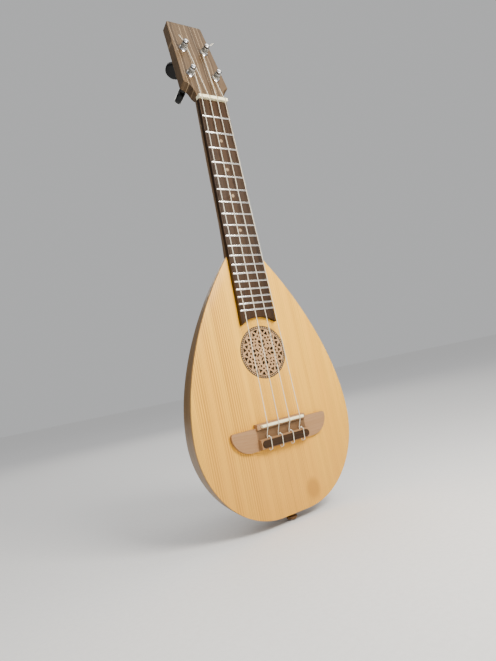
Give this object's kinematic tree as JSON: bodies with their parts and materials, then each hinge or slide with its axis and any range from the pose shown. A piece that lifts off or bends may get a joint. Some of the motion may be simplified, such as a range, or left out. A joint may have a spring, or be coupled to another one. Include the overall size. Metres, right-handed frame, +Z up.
{
  "type": "mandolin",
  "caption": "Small plucked instrument with a teardrop spruce front, ribbed bowl back, carved round rose, fretted neck and straight-through friction tuners.",
  "frame": {"origin": "on the centre line, in the middle of the end pin's head at the tail", "axes": "+Z up the neck towards the headstock, -Y out of the soundboard towards the player's audience, +X to the right seen from the front"},
  "size_m": [0.207, 0.1014, 0.6082],
  "materials": {
    "bone": "polished bone",
    "bowl_ribs": "satin walnut",
    "bridge": "satin pear",
    "button_plastic": "gloss black",
    "end_pin": "polished boxwood",
    "fingerboard": "oiled dark rosewood",
    "frets": "polished fret wire",
    "headstock": "satin striped walnut",
    "inner_wood": "raw spruce",
    "neck": "satin walnut",
    "position_dots": "pale inlay",
    "rose": "matt cut wood",
    "soundboard": "satin spruce",
    "strings": "clear nylon",
    "tie_block_cap": "oiled dark rosewood",
    "tuner_metal": "polished",
    "tuner_sleeves": "polished"
  },
  "bodies": {
    "instrument": {"soundboard": "soundboard", "rose": "rose", "rib_1": "bowl_ribs", "rib_2": "bowl_ribs", "rib_3": "bowl_ribs", "rib_4": "bowl_ribs", "rib_5": "bowl_ribs", "rib_6": "bowl_ribs", "rib_7": "bowl_ribs", "rib_8": "bowl_ribs", "rib_9": "bowl_ribs", "tail_plate": "bowl_ribs", "tail_block": "inner_wood", "neck_block": "inner_wood", "lining": "inner_wood", "soundboard_bars": "inner_wood", "bridge_plate": "inner_wood", "neck": "neck", "headstock": "headstock", "fingerboard": "fingerboard", "position_dots": "position_dots", "frets": "frets", "nut": "bone", "bridge": "bridge", "tie_block_cap": "tie_block_cap", "saddle": "bone", "front_ferrules": "tuner_metal", "rear_sleeves": "tuner_sleeves", "string_1": "strings", "string_2": "strings", "string_3": "strings", "string_4": "strings", "end_pin": "end_pin"},
    "tuner_1": {"tuner_post_1": "tuner_metal", "tuner_button_1": "button_plastic", "button_screw_1": "tuner_metal", "string_winding_1": "strings"},
    "tuner_2": {"tuner_post_2": "tuner_metal", "tuner_button_2": "button_plastic", "button_screw_2": "tuner_metal", "string_winding_2": "strings"},
    "tuner_3": {"tuner_post_3": "tuner_metal", "tuner_button_3": "button_plastic", "button_screw_3": "tuner_metal", "string_winding_3": "strings"},
    "tuner_4": {"tuner_post_4": "tuner_metal", "tuner_button_4": "button_plastic", "button_screw_4": "tuner_metal", "string_winding_4": "strings"}
  },
  "joints": [
    {"name": "tuner_1_turn", "type": "hinge", "parent": "instrument", "child": "tuner_1", "pos_m": [-0.0173, -0.00756, 0.52202], "axis": [0, -0.9744, 0.225], "continuous": true},
    {"name": "tuner_2_turn", "type": "hinge", "parent": "instrument", "child": "tuner_2", "pos_m": [-0.0143, 0.00173, 0.56226], "axis": [0, -0.9744, 0.225], "continuous": true},
    {"name": "tuner_3_turn", "type": "hinge", "parent": "instrument", "child": "tuner_3", "pos_m": [0.0143, 0.00173, 0.56226], "axis": [0, -0.9744, 0.225], "continuous": true},
    {"name": "tuner_4_turn", "type": "hinge", "parent": "instrument", "child": "tuner_4", "pos_m": [0.0173, -0.00756, 0.52202], "axis": [0, -0.9744, 0.225], "continuous": true}
  ]
}
